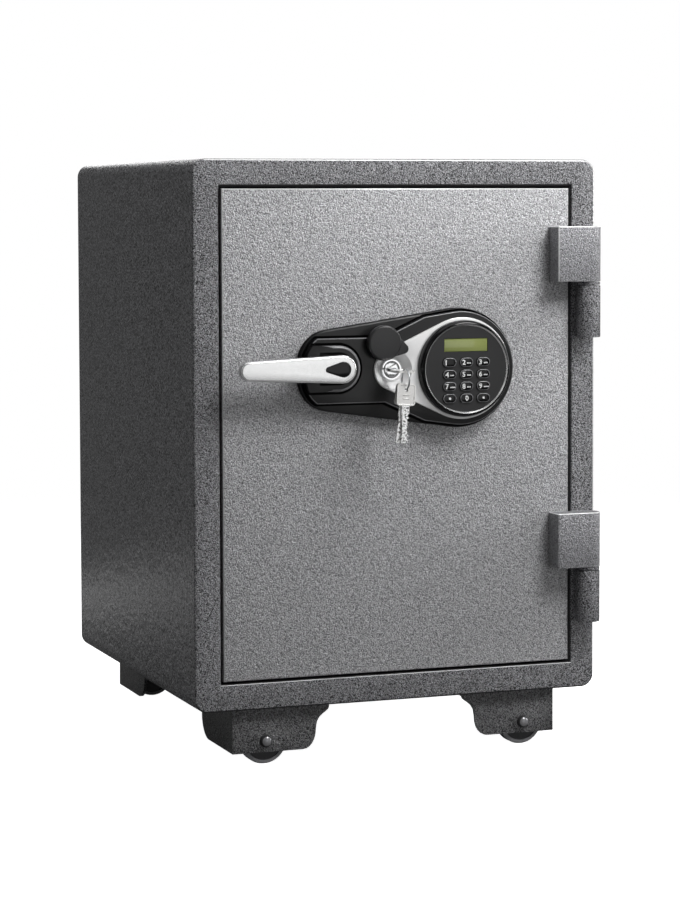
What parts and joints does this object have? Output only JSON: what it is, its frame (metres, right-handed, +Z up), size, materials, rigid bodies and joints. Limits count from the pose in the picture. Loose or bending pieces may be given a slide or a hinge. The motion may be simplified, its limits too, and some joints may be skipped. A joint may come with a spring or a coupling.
{
  "type": "fireproof safe",
  "caption": "Free-standing fireproof safe on wheels, with a hinged plug door, lever handle with bolts, electronic keypad and emergency key lock.",
  "frame": {"origin": "middle of the bounding box on the ground under the wheels", "axes": "+Z up along the height, +X to the right seen from the front, and the door faces -Y"},
  "size_m": [0.412, 0.4788, 0.5749],
  "materials": {
    "dark_hammered_paint": "hammered",
    "light_hammered_paint": "hammered",
    "inner_paint": "satin",
    "zinc_plated_steel": "satin",
    "chrome_plate": "polished",
    "satin_chrome_plate": "satin",
    "matt_black_plastic": "matte",
    "gloss_black_plastic": "gloss",
    "display_window": "gloss",
    "fire_fill": "rough",
    "seal_rubber": "matte",
    "wheel_rubber": "matte",
    "circuit_board": "satin"
  },
  "bodies": {
    "cabinet": {"body_shell": "dark_hammered_paint", "front_frame": "dark_hammered_paint", "back_plate": "dark_hammered_paint", "body_insulation": "fire_fill", "inner_liner": "inner_paint", "shelf": "inner_paint", "upper_hinge_knuckle": "dark_hammered_paint", "lower_hinge_knuckle": "dark_hammered_paint", "front_left_caster_bracket": "dark_hammered_paint", "front_left_caster_axle": "zinc_plated_steel", "front_right_caster_bracket": "dark_hammered_paint", "front_right_caster_axle": "zinc_plated_steel", "rear_left_caster_bracket": "dark_hammered_paint", "rear_left_caster_axle": "zinc_plated_steel", "rear_right_caster_bracket": "dark_hammered_paint", "rear_right_caster_axle": "zinc_plated_steel"},
    "front_left_wheel": {"front_left_caster_wheel": "wheel_rubber"},
    "front_right_wheel": {"front_right_caster_wheel": "wheel_rubber"},
    "rear_left_wheel": {"rear_left_caster_wheel": "wheel_rubber"},
    "rear_right_wheel": {"rear_right_caster_wheel": "wheel_rubber"},
    "door": {"door_skin": "light_hammered_paint", "door_insulation": "fire_fill", "door_back_pan": "inner_paint", "door_seal": "seal_rubber", "upper_hinge_leaf": "light_hammered_paint", "lower_hinge_leaf": "light_hammered_paint", "lock_plate": "matt_black_plastic", "trim_plate": "chrome_plate", "keypad_bezel": "gloss_black_plastic", "keypad_face": "matt_black_plastic", "display_lens": "display_window", "keypad_board": "circuit_board", "lock_cylinder": "chrome_plate", "lock_solenoid": "zinc_plated_steel", "battery_box": "matt_black_plastic"},
    "handle": {"lever_handle": "satin_chrome_plate", "lever_inlay": "matt_black_plastic", "handle_spindle": "zinc_plated_steel"},
    "bolts": {"bolt_carriage": "zinc_plated_steel", "lower_live_bolt": "chrome_plate", "middle_live_bolt": "chrome_plate", "upper_live_bolt": "chrome_plate"},
    "plug_and_key": {"cylinder_plug": "chrome_plate", "inserted_key": "satin_chrome_plate"},
    "ring": {"key_ring": "zinc_plated_steel"},
    "front_spare": {"front_spare_key": "satin_chrome_plate"},
    "rear_spare": {"rear_spare_key": "satin_chrome_plate"},
    "cover": {"keyhole_cover": "matt_black_plastic"},
    "button_1": {"key_1": "gloss_black_plastic"},
    "button_2": {"key_2": "gloss_black_plastic"},
    "button_3": {"key_3": "gloss_black_plastic"},
    "button_4": {"key_4": "gloss_black_plastic"},
    "button_5": {"key_5": "gloss_black_plastic"},
    "button_6": {"key_6": "gloss_black_plastic"},
    "button_7": {"key_7": "gloss_black_plastic"},
    "button_8": {"key_8": "gloss_black_plastic"},
    "button_9": {"key_9": "gloss_black_plastic"},
    "button_star": {"key_star": "gloss_black_plastic"},
    "button_0": {"key_0": "gloss_black_plastic"},
    "button_hash": {"key_hash": "gloss_black_plastic"}
  },
  "joints": [
    {"name": "front_left_wheel_spin", "type": "hinge", "parent": "cabinet", "child": "front_left_wheel", "pos_m": [-0.1334, -0.1606, 0.02289], "axis": [0, 1, 0], "continuous": true},
    {"name": "front_right_wheel_spin", "type": "hinge", "parent": "cabinet", "child": "front_right_wheel", "pos_m": [0.1334, -0.1606, 0.02289], "axis": [0, 1, 0], "continuous": true},
    {"name": "rear_left_wheel_spin", "type": "hinge", "parent": "cabinet", "child": "rear_left_wheel", "pos_m": [-0.1334, 0.2194, 0.02289], "axis": [0, 1, 0], "continuous": true},
    {"name": "rear_right_wheel_spin", "type": "hinge", "parent": "cabinet", "child": "rear_right_wheel", "pos_m": [0.1334, 0.2194, 0.02289], "axis": [0, 1, 0], "continuous": true},
    {"name": "door_swing", "type": "hinge", "parent": "cabinet", "child": "door", "pos_m": [0.1945, -0.1921, 0.3149], "axis": [0, 0, 1], "range_deg": [0, 170]},
    {"name": "handle_turn", "type": "hinge", "parent": "door", "child": "handle", "pos_m": [-0.069, -0.2096, 0.37739], "axis": [0, -1, 0], "range_deg": [-60, 0]},
    {"name": "bolt_slide", "type": "slide", "parent": "door", "child": "bolts", "axis": [-1, 0, 0], "range_m": [0, 0.016]},
    {"name": "key_turn", "type": "hinge", "parent": "door", "child": "plug_and_key", "pos_m": [-0.0126, -0.1936, 0.37489], "axis": [0, 1, 0], "range_deg": [0, 40]},
    {"name": "ring_hang", "type": "hinge", "parent": "plug_and_key", "child": "ring", "pos_m": [-0.0126, -0.229, 0.37489], "axis": [0, 1, 0], "range_deg": [-40, 0]},
    {"name": "front_spare_swing", "type": "hinge", "parent": "ring", "child": "front_spare", "pos_m": [-0.0126, -0.2303, 0.35829], "axis": [0, -1, 0], "range_deg": [-12, 12]},
    {"name": "rear_spare_swing", "type": "hinge", "parent": "ring", "child": "rear_spare", "pos_m": [-0.0126, -0.2277, 0.35829], "axis": [0, -1, 0], "range_deg": [-12, 12]},
    {"name": "cover_swing", "type": "hinge", "parent": "door", "child": "cover", "pos_m": [-0.004, -0.2031, 0.39489], "axis": [0, -1, 0], "range_deg": [-25, 15]},
    {"name": "key_1_press", "type": "slide", "parent": "door", "child": "button_1", "axis": [0, 1, 0], "range_m": [0, 0.0012], "stiffness_N_per_m": 400},
    {"name": "key_2_press", "type": "slide", "parent": "door", "child": "button_2", "axis": [0, 1, 0], "range_m": [0, 0.0012], "stiffness_N_per_m": 400},
    {"name": "key_3_press", "type": "slide", "parent": "door", "child": "button_3", "axis": [0, 1, 0], "range_m": [0, 0.0012], "stiffness_N_per_m": 400},
    {"name": "key_4_press", "type": "slide", "parent": "door", "child": "button_4", "axis": [0, 1, 0], "range_m": [0, 0.0012], "stiffness_N_per_m": 400},
    {"name": "key_5_press", "type": "slide", "parent": "door", "child": "button_5", "axis": [0, 1, 0], "range_m": [0, 0.0012], "stiffness_N_per_m": 400},
    {"name": "key_6_press", "type": "slide", "parent": "door", "child": "button_6", "axis": [0, 1, 0], "range_m": [0, 0.0012], "stiffness_N_per_m": 400},
    {"name": "key_7_press", "type": "slide", "parent": "door", "child": "button_7", "axis": [0, 1, 0], "range_m": [0, 0.0012], "stiffness_N_per_m": 400},
    {"name": "key_8_press", "type": "slide", "parent": "door", "child": "button_8", "axis": [0, 1, 0], "range_m": [0, 0.0012], "stiffness_N_per_m": 400},
    {"name": "key_9_press", "type": "slide", "parent": "door", "child": "button_9", "axis": [0, 1, 0], "range_m": [0, 0.0012], "stiffness_N_per_m": 400},
    {"name": "key_star_press", "type": "slide", "parent": "door", "child": "button_star", "axis": [0, 1, 0], "range_m": [0, 0.0012], "stiffness_N_per_m": 400},
    {"name": "key_0_press", "type": "slide", "parent": "door", "child": "button_0", "axis": [0, 1, 0], "range_m": [0, 0.0012], "stiffness_N_per_m": 400},
    {"name": "key_hash_press", "type": "slide", "parent": "door", "child": "button_hash", "axis": [0, 1, 0], "range_m": [0, 0.0012], "stiffness_N_per_m": 400}
  ],
  "couplings": [
    {"joint": "bolt_slide", "follows": "handle_turn", "m_per_rad": -0.01527},
    {"joint": "ring_hang", "follows": "key_turn", "ratio": -1}
  ]
}
